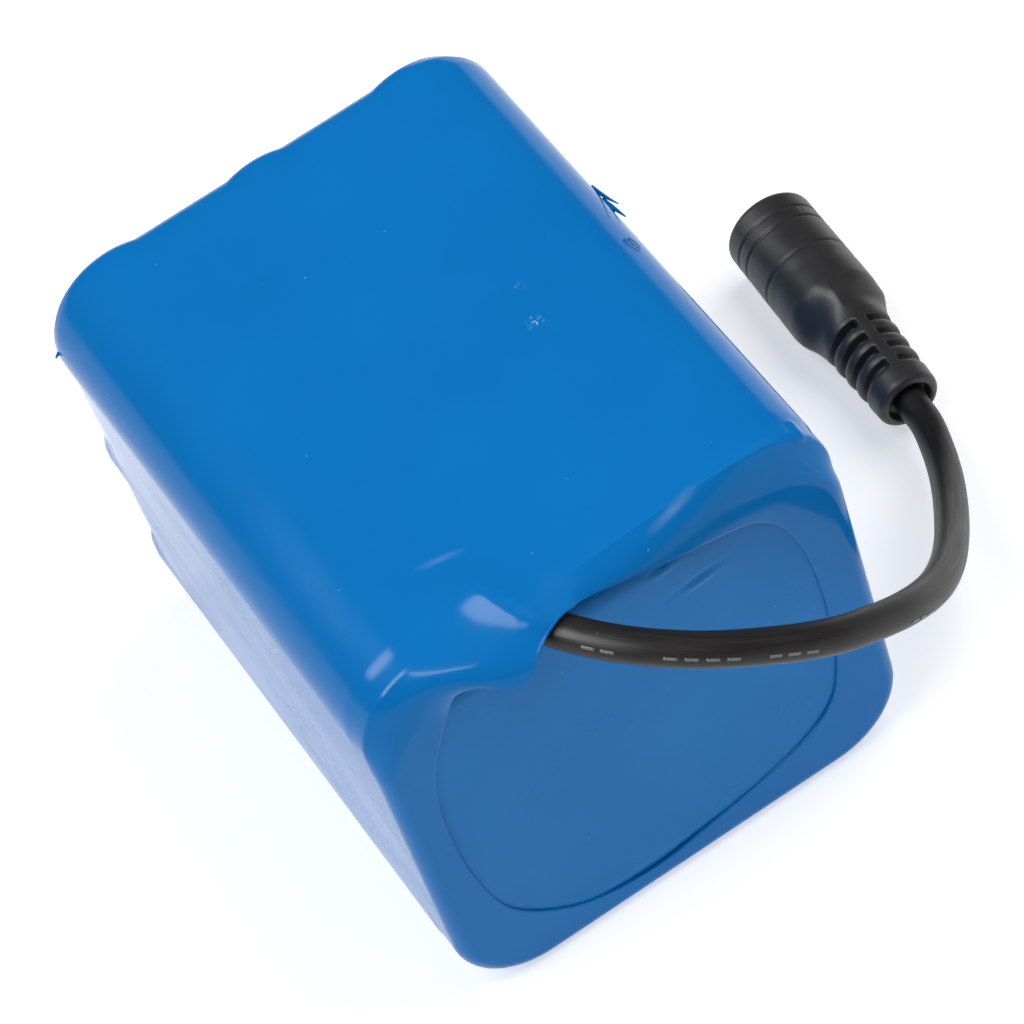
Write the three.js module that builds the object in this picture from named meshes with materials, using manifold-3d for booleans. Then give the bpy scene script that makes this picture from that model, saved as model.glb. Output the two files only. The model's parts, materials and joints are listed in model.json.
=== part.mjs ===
// A heat-shrunk battery pack: nine 18650 cells in a 3 x 3 block (three in parallel, three groups in
// series), a protection board, and a short round lead that ends in a female 5.5 x 2.1 mm DC socket.
// Millimetres, +Z up. The origin is the centre of the flat base of the block. X runs across the pack,
// Y along the cells, and the lead leaves the -Y end, the front.
import * as THREE from 'three';
import { mergeVertices } from 'three/addons/utils/BufferGeometryUtils.js';
import { ConvexGeometry } from 'three/addons/geometries/ConvexGeometry.js';
import Module from 'manifold-3d';

const wasm = await Module();
wasm.setup();

// ---- Driving dimensions -------------------------------------------------------------------------

const PACK_WIDTH = 56.3;
const PACK_LENGTH = 71.0;
const PACK_HEIGHT = 55.7;
const ROWS = 3;
const COLUMNS = 3;

const FILM = 0.3;             // wall of the shrink sleeve
const FILM_GAP = 0.15;        // sleeve to cell
const CELL_RADIUS = 9.1;      // over the cell's own plastic wrap
const CELL_LENGTH = 65.2;
const WRAP = 0.1;
const LONG_EDGE_RADIUS = CELL_RADIUS + FILM_GAP + FILM;
const END_FOLD_RADIUS = 2.0;  // where the film turns over the ends

const PITCH_X = (PACK_WIDTH - 2 * LONG_EDGE_RADIUS) / (COLUMNS - 1);
const PITCH_Z = (PACK_HEIGHT - 2 * LONG_EDGE_RADIUS) / (ROWS - 1);
const MID_Z = PACK_HEIGHT / 2;

// Stack of the two ends, as Y planes. Each entry is the layer's lower Y.
const FRONT = -PACK_LENGTH / 2;
const REAR = PACK_LENGTH / 2;
const END_PLATE = 0.5;
const LAYER_GAP = 0.2;
const FRONT_PLATE_Y = FRONT + FILM + LAYER_GAP;
const BOARD = 0.8;
const BOARD_BAY = 1.45;       // end plate to board, for the parts on the board and the lead's cores
const BOARD_Y = FRONT_PLATE_Y + END_PLATE + BOARD_BAY;
const SHEET = 0.3;
const SHEET_Y = BOARD_Y + BOARD + LAYER_GAP;
const NICKEL = 0.2;
const FRONT_NICKEL_Y = SHEET_Y + SHEET + LAYER_GAP;
const CELLS_Y = FRONT_NICKEL_Y + NICKEL + LAYER_GAP;
const REAR_NICKEL_Y = CELLS_Y + CELL_LENGTH + LAYER_GAP;
const REAR_PLATE = 0.4;
const REAR_PLATE_Y = REAR_NICKEL_Y + NICKEL + LAYER_GAP;

const CAN_RADIUS = CELL_RADIUS - WRAP - 0.05;
const CAN_TOP = 64.1;         // crimped rim, above the can's base
const CAP_RADIUS = 5.6;
const NICKEL_HALF_WIDTH = 4.0;
const TAB_HALF_WIDTH = 1.5;
const TAB_HEIGHT = 1.0;
const GASKET = 0.2;
const GASKET_WIDTH = 15;

const BOARD_WIDTH = 44;
const BOARD_HEIGHT = 22;
const SHEET_SIZE = { width: 50, height: 45.9, radius: 8, middle: 27.45 };
const WIRE_DIAMETER = 1.8;

// The surface-mount packages: place, width, height, depth and number of leads on a long side.
const PACKAGES = {
  power_transistor_1: [-6, MID_Z, 5, 4, 1.0, 4],
  power_transistor_2: [2, MID_Z, 5, 4, 1.0, 4],
  protection_chip: [12, MID_Z - 3, 5, 4.4, 1.0, 8],
  sense_resistor: [-15, MID_Z - 4, 6.3, 3.2, 0.7, 1],
};

const PLATE_INSET = 2.3;      // end plates, from the outside of the film
const PLATE_NOTCH = { left: -10.4, right: -4.2, floor: 50.1 };
const REAR_OPENING = { width: 45, height: 44, radius: 14 };

// The front opening of the film, a lopsided rounded square, in X and Z, anticlockwise from the hood's
// mouth: where it starts, then the two handles and the end of each curve.
const OPENING_START = [-7.0, 50.0];
const OPENING_CURVES = [
  [-8.0, 48.3, -9.5, 47.4, -11.5, 47.4],
  [-13.9, 47.4, -16.2, 47.4, -18.6, 47.4],
  [-22.5, 43.0, -23.8, 36.0, -23.9, 29.0],
  [-23.8, 14.0, -18.0, 3.0, -5.0, 3.2],
  [3.0, 4.5, 12.0, 6.6, 16.0, 8.6],
  [21.0, 11.0, 22.2, 17.0, 22.2, 30.0],
  [22.0, 41.0, 20.0, 47.0, 16.0, 48.0],
  [9.0, 49.5, 1.0, 51.5, -4.0, 52.1],
];

// The hood that the film makes over the lead, as balls in a hull, [x, y, z, radius].
const HOOD_BALLS = [
  [-9.3, -31.5, 52.3, 2.7],
  [-7.6, -34.4, 52.4, 2.6],
  [-6.0, -36.9, 52.1, 2.6],
  [-11.5, -36.6, 47.2, 1.3],
  [-19.0, -33.9, 49.4, 1.3],
];
const HOOD_MOUTH_BALLS = [
  [-3.4, -39.6, 51.2, 2.6],
  [-8.5, -39.6, 44.5, 1.3],
];

const CABLE_DIAMETER = 3.8;
const CORE_DIAMETER = 1.2;
const CORE_SPACING = 1.6;
// The cores' bend from the jacket's end down behind the end plate, as [y, z]; the pads follow it.
const CORE_BEND = [[-32.9, 52.6], [-32.5, 52.5], [-32.3, 51.9], [-32.9, 51.1], [-33.4, 50.0]];
const CORE_FOOT_Z = 44.0;

// The middle line of the output lead, from just behind the front end plate, out over the plate's notch,
// in a free arch in front of the pack and down to the socket, which lies beside the pack.
const CABLE_ROUTE = [
  [-7.8, -33.8, 52.6],
  [-7.3, -35.0, 52.6],
  [-5.7, -37.3, 52.3],
  [-3.4, -40.0, 51.6],
  [-0.9, -42.3, 50.8],
  [1.8, -44.2, 49.8],
  [4.7, -45.8, 48.6],
  [7.8, -47.0, 47.2],
  [11.0, -47.8, 45.5],
  [14.4, -48.3, 43.5],
  [18.1, -48.2, 41.0],
  [22.2, -47.2, 37.9],
  [26.9, -45.2, 33.8],
  [31.9, -41.3, 28.2],
  [35.9, -36.6, 23.2],
  [39.3, -31.4, 18.5],
  [42.3, -26.1, 14.3],
  [44.9, -21.1, 10.9],
  [47.1, -16.4, 8.3],
  [48.8, -12.0, 6.7],
  [50.0, -8.0, 6.0],
  [50.4, -4.6, 5.7],
];
const CABLE_SIDES = 8;
const CABLE_STEPS = 26;

// The inline socket. Lengths run from its tail, where the lead enters, to its open face.
const SOCKET_TAIL = [50.4, -4.3, 5.7];
const SOCKET_TURN = THREE.MathUtils.degToRad(-3.1);
const SOCKET_LENGTH = 32.2;
const BARREL_RADIUS = 5.65;
const BARREL_START = 17.0;
const BARREL_GROOVES = [3.0, 4.8, 9.5, 11.3];  // from the open face
const GROOVE_WIDTH = 0.4;
const GROOVE_DEPTH = 0.2;
const NECK_START = 12.3;
const NECK_RADIUS = 4.35;
const COLLAR_RADIUS = 3.8;
const RELIEF_CORE_RADIUS = 2.9;
const RELIEF_ROWS = 4;
const FIRST_SLOT = 3.75;
const SLOT_PITCH = 2.25;
const SLOT_WIDTH = 1.0;
const SPINE_HALF_WIDTH = 0.7;
const SPINE_LEAN = THREE.MathUtils.degToRad(8);
const SHELL_BORE_RADIUS = 4.1;
const SHELL_BORE_FLOOR = 19.2;
const INSULATOR_RADIUS = 3.9;
const SOCKET_BORE_RADIUS = 2.9;
const PIN_RADIUS = 1.05;
const PIN_TIP = 30.8;
const LEAF_WIDTH = 1.4;
const LEAF_THICKNESS = 0.25;
// The leaf's underside, as [length from its root, height above the socket's axis].
const LEAF_ROOT = 22.3;
const LEAF_LINE = [[0, 3.45], [1.5, 3.4], [4.6, 2.8], [5.4, 2.75], [6.4, 3.1]];
const LEAF_SLOT_WIDTH = 2.2;
const SOCKET_SEGMENTS = 20;

// ---- Small helpers ------------------------------------------------------------------------------

const group = new THREE.Group();

const finishes = {
  film: { color: 0x1672c0, roughness: 0.28, metalness: 0 },
  plate: { color: 0x2f6ba3, roughness: 0.5, metalness: 0 },
  steel: { color: 0xb9bcc0, roughness: 0.3, metalness: 1 },
  wrap: { color: 0x2f9c6e, roughness: 0.4, metalness: 0 },
  paper: { color: 0xd8d2bf, roughness: 0.9, metalness: 0 },
  board: { color: 0x1d5c3a, roughness: 0.5, metalness: 0 },
  chip: { color: 0x1b1b1d, roughness: 0.55, metalness: 0 },
  red: { color: 0xb3201c, roughness: 0.45, metalness: 0 },
  black: { color: 0x1c1c1e, roughness: 0.45, metalness: 0 },
  white: { color: 0xdedede, roughness: 0.45, metalness: 0 },
  cable: { color: 0x242425, roughness: 0.42, metalness: 0 },
  overmould: { color: 0x29292a, roughness: 0.5, metalness: 0 },
};
const materials = {};
for (const [name, finish] of Object.entries(finishes)) {
  materials[name] = new THREE.MeshStandardMaterial(finish);
}

function add(name, geometry, finish, parent = group) {
  const mesh = new THREE.Mesh(geometry, materials[finish]);
  mesh.name = name;
  parent.add(mesh);
  return mesh;
}

// A closed three.js geometry as a manifold solid, and back.
function solid(geometry) {
  const bare = geometry.clone();
  bare.deleteAttribute('normal');
  bare.deleteAttribute('uv');
  const merged = mergeVertices(bare, 1e-4);
  return new wasm.Manifold(new wasm.Mesh({
    numProp: 3,
    vertProperties: new Float32Array(merged.attributes.position.array),
    triVerts: new Uint32Array(merged.index.array),
  }));
}

function toGeometry(manifold) {
  const mesh = manifold.getMesh();
  const geometry = new THREE.BufferGeometry();
  geometry.setAttribute('position', new THREE.BufferAttribute(mesh.vertProperties, 3));
  geometry.setIndex(new THREE.BufferAttribute(mesh.triVerts, 1));
  geometry.computeVertexNormals();
  return geometry;
}

// A lathe about Y from [radius, y] pairs.
function lathe(profile, segments) {
  const points = profile.map(([radius, y]) => new THREE.Vector2(radius, y));
  return new THREE.LatheGeometry(points, segments);
}

// A box from its lowest to its highest corner.
function boxBetween(low, high) {
  const size = high.map((value, axis) => value - low[axis]);
  const box = new THREE.BoxGeometry(...size);
  box.translate(...high.map((value, axis) => (value + low[axis]) / 2));
  return box;
}

// A rounded rectangle centred on (x, z).
function roundedRectangle(width, height, radius, x = 0, z = MID_Z) {
  const right = x + width / 2 - radius;
  const left = x - width / 2 + radius;
  const top = z + height / 2 - radius;
  const bottom = z - height / 2 + radius;
  const shape = new THREE.Shape();
  shape.absarc(right, bottom, radius, -Math.PI / 2, 0);
  shape.absarc(right, top, radius, 0, Math.PI / 2);
  shape.absarc(left, top, radius, Math.PI / 2, Math.PI);
  shape.absarc(left, bottom, radius, Math.PI, 1.5 * Math.PI);
  shape.closePath();
  return shape;
}

function circleHole(x, z, radius) {
  const hole = new THREE.Path();
  hole.absarc(x, z, radius, 0, 2 * Math.PI, true);
  return hole;
}

// A shape drawn in X and Z, extruded from plane y towards +Y.
function plate(shape, y, thickness, curveSegments = 5) {
  const geometry = new THREE.ExtrudeGeometry(shape, {
    depth: thickness,
    bevelEnabled: false,
    curveSegments,
  });
  geometry.rotateX(Math.PI / 2);
  geometry.translate(0, y + thickness, 0);
  return geometry;
}

// A round tube along a list of points.
function tube(points, diameter, sides, steps) {
  const section = new THREE.Shape();
  for (let side = 0; side < sides; side += 1) {
    const angle = 2 * Math.PI * side / sides;
    const x = diameter / 2 * Math.cos(angle);
    const y = diameter / 2 * Math.sin(angle);
    if (side === 0) {
      section.moveTo(x, y);
    } else {
      section.lineTo(x, y);
    }
  }
  section.closePath();
  const path = new THREE.CatmullRomCurve3(points.map((point) => new THREE.Vector3(...point)));
  return new THREE.ExtrudeGeometry(section, { steps, extrudePath: path, bevelEnabled: false });
}

const columnX = (column) => (column - (COLUMNS - 1) / 2) * PITCH_X;
const rowZ = (row) => MID_Z + (row - (ROWS - 1) / 2) * PITCH_Z;

// ---- Cells --------------------------------------------------------------------------------------

// One cell, standing along +Y with its base at y = 0 and its positive cap at CELL_LENGTH.
function canGeometry() {
  const floor = WRAP + 0.05;
  return lathe([
    [0, floor], [CAN_RADIUS, floor], [CAN_RADIUS, 60.2], [CAN_RADIUS - 0.7, 61.0],
    [CAN_RADIUS, 61.8], [CAN_RADIUS, 63.7], [6.2, CAN_TOP], [0, CAN_TOP],
  ], 20);
}

function wrapGeometry() {
  const top = CAN_TOP + 0.2;
  return lathe([
    [7.6, 0], [CELL_RADIUS, 0], [CELL_RADIUS, top], [6.6, top],
    [6.6, top - WRAP], [CELL_RADIUS - WRAP, top - WRAP], [CELL_RADIUS - WRAP, WRAP], [7.6, WRAP], [7.6, 0],
  ], 20);
}

function capGeometry() {
  return lathe([
    [0, CAN_TOP + 0.1], [CAP_RADIUS, CAN_TOP + 0.1], [CAP_RADIUS, CAN_TOP + 0.3],
    [3.7, CAN_TOP + 0.4], [3.3, CELL_LENGTH], [0, CELL_LENGTH],
  ], 12);
}

// The middle column faces forward with its positive ends, the two outer columns backward.
const facesForward = (column) => column === 1;

function addCells() {
  const pieces = [
    ['cell_can', canGeometry(), 'steel'],
    ['cell_wrap', wrapGeometry(), 'wrap'],
    ['cell_cap', capGeometry(), 'steel'],
  ];
  for (let column = 0; column < COLUMNS; column += 1) {
    for (let row = 0; row < ROWS; row += 1) {
      const cell = new THREE.Group();
      const forward = facesForward(column);
      cell.position.set(columnX(column), forward ? CELLS_Y + CELL_LENGTH : CELLS_Y, rowZ(row));
      cell.rotation.z = forward ? Math.PI : 0;
      group.add(cell);
      for (const [name, geometry, finish] of pieces) {
        add(`${name}_${column * ROWS + row + 1}`, geometry, finish, cell);
      }
    }
  }
}

// A paper gasket over the positive ends of one column, with a hole around each cap.
function addGaskets() {
  const lift = CELL_LENGTH - CAN_TOP - 0.75;
  const height = (ROWS - 1) * PITCH_Z + GASKET_WIDTH;
  for (let column = 0; column < COLUMNS; column += 1) {
    const shape = roundedRectangle(GASKET_WIDTH, height, GASKET_WIDTH / 2, columnX(column));
    for (let row = 0; row < ROWS; row += 1) {
      shape.holes.push(circleHole(columnX(column), rowZ(row), CAP_RADIUS + 0.5));
    }
    const y = facesForward(column)
      ? CELLS_Y + CELL_LENGTH - CAN_TOP - lift - GASKET
      : CELLS_Y + CAN_TOP + lift;
    add(`gasket_${column + 1}`, plate(shape, y, GASKET), 'paper');
  }
}

// ---- Nickel strips ------------------------------------------------------------------------------

// A strip over every cell of the listed columns, joined by rungs at the given heights.
function stripShape(columns, rungHeights) {
  const half = NICKEL_HALF_WIDTH;
  const left = columnX(columns[0]) - half;
  const right = columnX(columns[columns.length - 1]) + half;
  const top = rowZ(ROWS - 1) + half;
  const bottom = rowZ(0) - half;
  const shape = new THREE.Shape();
  shape.moveTo(left, bottom);
  shape.lineTo(right, bottom);
  shape.lineTo(right, top);
  shape.lineTo(left, top);
  shape.closePath();
  if (columns.length > 1) {
    const edges = [bottom, ...rungHeights.flatMap((z) => [z - half, z + half]), top];
    for (let index = 0; index < edges.length; index += 2) {
      const low = Math.max(edges[index], bottom + 1);
      const high = Math.min(edges[index + 1], top - 1);
      if (high - low < 1) {
        continue;
      }
      const hole = new THREE.Path();
      hole.moveTo(columnX(columns[0]) + half, low);
      hole.lineTo(columnX(columns[0]) + half, high);
      hole.lineTo(columnX(columns[1]) - half, high);
      hole.lineTo(columnX(columns[1]) - half, low);
      hole.closePath();
      shape.holes.push(hole);
    }
  }
  return shape;
}

const lowGap = (rowZ(0) + rowZ(1)) / 2;
const highGap = (rowZ(1) + rowZ(2)) / 2;
const tabs = [
  { x: columnX(0), z: rowZ(1) },
  { x: columnX(2), z: rowZ(1) },
];

// The folded tab that carries a strip through the sheet to the board.
function tabBox({ x, z }) {
  return boxBetween(
    [x - TAB_HALF_WIDTH, BOARD_Y + BOARD + 0.1, z - TAB_HEIGHT / 2],
    [x + TAB_HALF_WIDTH, FRONT_NICKEL_Y + NICKEL / 2, z + TAB_HEIGHT / 2],
  );
}

function addNickel() {
  const rowHeights = [0, 1, 2].map(rowZ);
  const negative = solid(plate(stripShape([0], []), FRONT_NICKEL_Y, NICKEL));
  add('negative_strip', toGeometry(negative.add(solid(tabBox(tabs[0])))), 'steel');
  const frontLink = solid(plate(stripShape([1, 2], rowHeights), FRONT_NICKEL_Y, NICKEL));
  add('front_series_strip', toGeometry(frontLink.add(solid(tabBox(tabs[1])))), 'steel');
  add('rear_series_strip', plate(stripShape([0, 1], [lowGap, highGap]), REAR_NICKEL_Y, NICKEL), 'steel');
  const positive = solid(plate(stripShape([2], []), REAR_NICKEL_Y, NICKEL));
  const ear = boxBetween(
    [columnX(2) - PITCH_X / 2 - 2, REAR_NICKEL_Y, highGap - 2],
    [columnX(2), REAR_NICKEL_Y + NICKEL, highGap + 2],
  );
  add('positive_strip', toGeometry(positive.add(solid(ear))), 'steel');
}

// ---- Protection board and inner wires -----------------------------------------------------------

const positiveWireX = (columnX(1) + columnX(2)) / 2;
const tapWireX = (columnX(0) + columnX(1)) / 2;

// A surface-mount package on the board's front face, with square leads along its two long sides.
function packageGeometry(x, z, width, height, depth, leads) {
  const back = BOARD_Y - 0.1;
  let body = solid(boxBetween([x - width / 2, back - depth, z - height / 2],
    [x + width / 2, back - 0.1, z + height / 2]));
  for (let lead = 0; lead < leads; lead += 1) {
    const leadX = x - width / 2 + width * (lead + 0.5) / leads;
    const legs = boxBetween([leadX - 0.2, back - 0.3, z - height / 2 - 0.8],
      [leadX + 0.2, back, z + height / 2 + 0.8]);
    body = body.add(solid(legs));
  }
  return toGeometry(body);
}

function addBoard() {
  const { width, height, radius, middle } = SHEET_SIZE;
  const sheet = roundedRectangle(width, height, radius, 0, middle);
  sheet.holes.push(circleHole(positiveWireX, highGap, WIRE_DIAMETER / 2 + 0.4));
  sheet.holes.push(circleHole(tapWireX, lowGap, WIRE_DIAMETER / 2 + 0.4));
  for (const { x, z } of tabs) {
    sheet.holes.push(circleHole(x, z, TAB_HALF_WIDTH + 0.4));
  }
  add('insulation_sheet', plate(sheet, SHEET_Y, SHEET), 'paper');

  const board = roundedRectangle(BOARD_WIDTH, BOARD_HEIGHT, 1, 0, MID_Z);
  board.holes.push(circleHole(positiveWireX, highGap, 0.6));
  board.holes.push(circleHole(tapWireX, lowGap, 0.6));
  add('protection_board', plate(board, BOARD_Y, BOARD), 'board');

  for (const [name, sizes] of Object.entries(PACKAGES)) {
    add(name, packageGeometry(...sizes), 'chip');
  }
}

function addInnerWires() {
  const front = BOARD_Y + BOARD + LAYER_GAP;
  const rear = REAR_NICKEL_Y - LAYER_GAP;
  const straight = (x, z) => [[x, front, z], [x, (front + rear) / 2, z], [x, rear, z]];
  add('positive_wire', tube(straight(positiveWireX, highGap), WIRE_DIAMETER, 8, 2), 'red');
  add('balance_wire', tube(straight(tapWireX, lowGap), WIRE_DIAMETER, 8, 2), 'white');
}

// ---- Film, end plates and lead ------------------------------------------------------------------

// A block with rounded long edges, and ends rounded over by the fold radius.
function packBlock(inset) {
  const fold = END_FOLD_RADIUS - inset;
  const shape = roundedRectangle(PACK_WIDTH - 2 * inset, PACK_HEIGHT - 2 * inset, LONG_EDGE_RADIUS - inset);
  const block = new THREE.ExtrudeGeometry(shape, {
    depth: PACK_LENGTH - 2 * END_FOLD_RADIUS,
    bevelEnabled: true,
    bevelThickness: fold,
    bevelSize: fold,
    bevelOffset: -fold,
    bevelSegments: 2,
    curveSegments: 7,
  });
  block.rotateX(Math.PI / 2);
  block.translate(0, REAR - END_FOLD_RADIUS, 0);
  return solid(block);
}

// The hull of the hood's balls. The hollow also takes in the two that open its mouth.
function hood(inset) {
  const points = [];
  for (const [x, y, z, radius] of inset > 0 ? [...HOOD_BALLS, ...HOOD_MOUTH_BALLS] : HOOD_BALLS) {
    const ball = new THREE.IcosahedronGeometry(radius - inset, 1);
    ball.translate(x, y, z);
    const position = ball.attributes.position;
    for (let index = 0; index < position.count; index += 1) {
      points.push(new THREE.Vector3().fromBufferAttribute(position, index));
    }
  }
  return solid(new ConvexGeometry(points));
}

// The front opening of the film, drawn in X and Z.
function frontOpening() {
  const shape = new THREE.Shape();
  shape.moveTo(...OPENING_START);
  for (const curve of OPENING_CURVES) {
    shape.bezierCurveTo(...curve);
  }
  shape.closePath();
  return shape;
}

function addFilm() {
  const outer = packBlock(0).add(hood(0));
  const inner = packBlock(FILM).add(hood(FILM));
  const front = solid(plate(frontOpening(), FRONT - 1.2, 2, 6));
  const { width, height, radius } = REAR_OPENING;
  const rear = solid(plate(roundedRectangle(width, height, radius), REAR - 0.8, 1, 6));
  add('shrink_sleeve', toGeometry(outer.subtract(inner).subtract(front).subtract(rear)), 'film');
}

function addEndPlates() {
  const width = PACK_WIDTH - 2 * PLATE_INSET;
  const height = PACK_HEIGHT - 2 * PLATE_INSET;
  const corner = LONG_EDGE_RADIUS - PLATE_INSET;
  const { left, right, floor } = PLATE_NOTCH;
  const blank = solid(plate(roundedRectangle(width, height, corner), FRONT_PLATE_Y, END_PLATE, 6));
  const notch = boxBetween([left, FRONT_PLATE_Y - 1, floor], [right, FRONT_PLATE_Y + 2, PACK_HEIGHT]);
  add('front_end_plate', toGeometry(blank.subtract(solid(notch))), 'plate');
  add('rear_end_plate', plate(roundedRectangle(width, height, corner), REAR_PLATE_Y, REAR_PLATE), 'plate');
}

// The two cores leave the jacket behind the end plate and turn down to pads on the board.
function addLead() {
  add('output_cable', tube(CABLE_ROUTE, CABLE_DIAMETER, CABLE_SIDES, CABLE_STEPS), 'cable');
  const padY = BOARD_Y - CORE_DIAMETER / 2 - 0.1;
  const padZ = MID_Z + BOARD_HEIGHT / 2 - 2;
  for (const [name, side, finish] of [['core_red', -1, 'red'], ['core_black', 1, 'black']]) {
    const x = CABLE_ROUTE[0][0] + side * CORE_SPACING / 2;
    const bend = CORE_BEND.map(([y, z]) => [x, y, z]);
    const route = [...bend, [x, padY, CORE_FOOT_Z], [x, padY, padZ]];
    add(name, tube(route, CORE_DIAMETER, 8, 14), finish);
  }
}

// ---- Inline DC socket ---------------------------------------------------------------------------

// A band around the socket between two radii, centred on length y.
function band(inner, outer, y, width) {
  return solid(lathe([
    [inner, y - width / 2], [outer, y - width / 2], [outer, y + width / 2], [inner, y + width / 2],
    [inner, y - width / 2],
  ], SOCKET_SEGMENTS));
}

// A slot of the strain relief: half a band, on one side (-1 or 1) of the two spines.
function reliefSlot(side, y) {
  const far = BARREL_RADIUS + 1;
  const [low, high] = side < 0 ? [-SPINE_HALF_WIDTH, far] : [-far, SPINE_HALF_WIDTH];
  const kept = boxBetween([low, y - SLOT_WIDTH, -far], [high, y + SLOT_WIDTH, far]);
  kept.rotateY(SPINE_LEAN);
  return band(RELIEF_CORE_RADIUS, BARREL_RADIUS, y, SLOT_WIDTH).subtract(solid(kept));
}

function overmould() {
  const outline = lathe([
    [0, 0], [COLLAR_RADIUS - 0.8, 0], [COLLAR_RADIUS - 0.2, 0.4], [COLLAR_RADIUS, 1.1],
    [NECK_RADIUS, NECK_START], [BARREL_RADIUS - 0.3, BARREL_START - 1.2],
    [BARREL_RADIUS, BARREL_START], [BARREL_RADIUS, SOCKET_LENGTH - 1],
    [BARREL_RADIUS - 0.3, SOCKET_LENGTH - 0.3], [BARREL_RADIUS - 0.9, SOCKET_LENGTH], [0, SOCKET_LENGTH],
  ], SOCKET_SEGMENTS);
  const bore = lathe([
    [0, SHELL_BORE_FLOOR], [SHELL_BORE_RADIUS, SHELL_BORE_FLOOR],
    [SHELL_BORE_RADIUS, SOCKET_LENGTH + 1], [0, SOCKET_LENGTH + 1],
  ], SOCKET_SEGMENTS);
  let body = solid(outline).subtract(solid(bore));
  for (const fromFace of BARREL_GROOVES) {
    const y = SOCKET_LENGTH - fromFace;
    body = body.subtract(band(BARREL_RADIUS - GROOVE_DEPTH, BARREL_RADIUS + 1, y, GROOVE_WIDTH));
  }
  for (let row = 0; row < RELIEF_ROWS; row += 1) {
    for (const side of [-1, 1]) {
      body = body.subtract(reliefSlot(side, FIRST_SLOT + row * SLOT_PITCH));
    }
  }
  return toGeometry(body);
}

// The moulded insert, a cup with a hole in its floor for the pin and a slot for the leaf spring.
function insulator() {
  const floor = SHELL_BORE_FLOOR + 0.3;
  const face = SOCKET_LENGTH - 0.3;
  const cup = lathe([
    [PIN_RADIUS + 0.15, floor], [INSULATOR_RADIUS, floor], [INSULATOR_RADIUS, face],
    [SOCKET_BORE_RADIUS + 0.3, face], [SOCKET_BORE_RADIUS, face - 0.3],
    [SOCKET_BORE_RADIUS, floor + 2], [PIN_RADIUS + 0.15, floor + 2], [PIN_RADIUS + 0.15, floor],
  ], SOCKET_SEGMENTS);
  const slot = boxBetween(
    [-LEAF_SLOT_WIDTH / 2, floor + 2.4, 1.8],
    [LEAF_SLOT_WIDTH / 2, face - 2.2, SHELL_BORE_RADIUS + 0.5],
  );
  return toGeometry(solid(cup).subtract(solid(slot)));
}

function pinGeometry() {
  return lathe([
    [0, SHELL_BORE_FLOOR + 0.4], [PIN_RADIUS, SHELL_BORE_FLOOR + 0.4],
    [PIN_RADIUS, PIN_TIP - 0.6], [PIN_RADIUS - 0.5, PIN_TIP], [0, PIN_TIP],
  ], 16);
}

// The leaf spring of the outer contact: a thin strip that is straight at its root, dips into the bore
// and turns up again at its free end. Its outline is drawn in Y and Z and extruded along X.
function leafGeometry() {
  const line = LEAF_LINE.map(([along, height]) => [LEAF_ROOT + along, height]);
  const shape = new THREE.Shape();
  shape.moveTo(...line[0]);
  for (const [y, z] of line.slice(1)) {
    shape.lineTo(y, z);
  }
  for (const [y, z] of line.slice().reverse()) {
    shape.lineTo(y, z + LEAF_THICKNESS);
  }
  shape.closePath();
  const leaf = new THREE.ExtrudeGeometry(shape, { depth: LEAF_WIDTH, bevelEnabled: false });
  const alongX = new THREE.Vector3(1, 0, 0);
  const alongY = new THREE.Vector3(0, 1, 0);
  const alongZ = new THREE.Vector3(0, 0, 1);
  leaf.applyMatrix4(new THREE.Matrix4().makeBasis(alongY, alongZ, alongX));
  leaf.translate(-LEAF_WIDTH / 2, 0, 0);
  return leaf;
}

function addSocket() {
  const socket = new THREE.Group();
  socket.position.set(...SOCKET_TAIL);
  socket.rotation.z = SOCKET_TURN;
  group.add(socket);
  add('connector_overmould', overmould(), 'overmould', socket);
  add('socket_insulator', insulator(), 'black', socket);
  add('centre_pin', pinGeometry(), 'steel', socket);
  add('sleeve_contact', leafGeometry(), 'steel', socket);
}

addCells();
addGaskets();
addNickel();
addBoard();
addInnerWires();
addEndPlates();
addLead();
addFilm();
addSocket();

export default group;
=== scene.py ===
import json
import math

import bpy
import numpy as np
from mathutils import Matrix, Vector


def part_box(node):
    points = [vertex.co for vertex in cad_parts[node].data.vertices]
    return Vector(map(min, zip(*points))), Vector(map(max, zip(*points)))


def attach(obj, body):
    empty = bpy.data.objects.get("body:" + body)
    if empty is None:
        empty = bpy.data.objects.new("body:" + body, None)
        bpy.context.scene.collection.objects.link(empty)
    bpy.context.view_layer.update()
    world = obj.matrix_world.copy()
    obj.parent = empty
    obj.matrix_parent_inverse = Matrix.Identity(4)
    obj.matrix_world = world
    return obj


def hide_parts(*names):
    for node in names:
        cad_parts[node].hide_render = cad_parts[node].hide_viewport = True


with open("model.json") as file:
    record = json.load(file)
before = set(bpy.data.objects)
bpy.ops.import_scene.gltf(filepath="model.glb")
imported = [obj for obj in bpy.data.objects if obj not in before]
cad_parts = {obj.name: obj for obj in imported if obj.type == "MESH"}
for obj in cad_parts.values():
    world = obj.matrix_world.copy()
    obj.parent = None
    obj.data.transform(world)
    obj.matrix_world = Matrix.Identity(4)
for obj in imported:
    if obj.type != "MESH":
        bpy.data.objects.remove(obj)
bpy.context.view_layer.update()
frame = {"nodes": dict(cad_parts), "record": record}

MM = 0.001
BODY = "pack"
TINY = 1e-9                    # keeps a division away from zero

# ---- Sizes, from the frame ----


def box_mm(node):
    """The lowest and the highest corner of a CAD node."""
    low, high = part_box(node)
    return np.array(low) / MM, np.array(high) / MM


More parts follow.
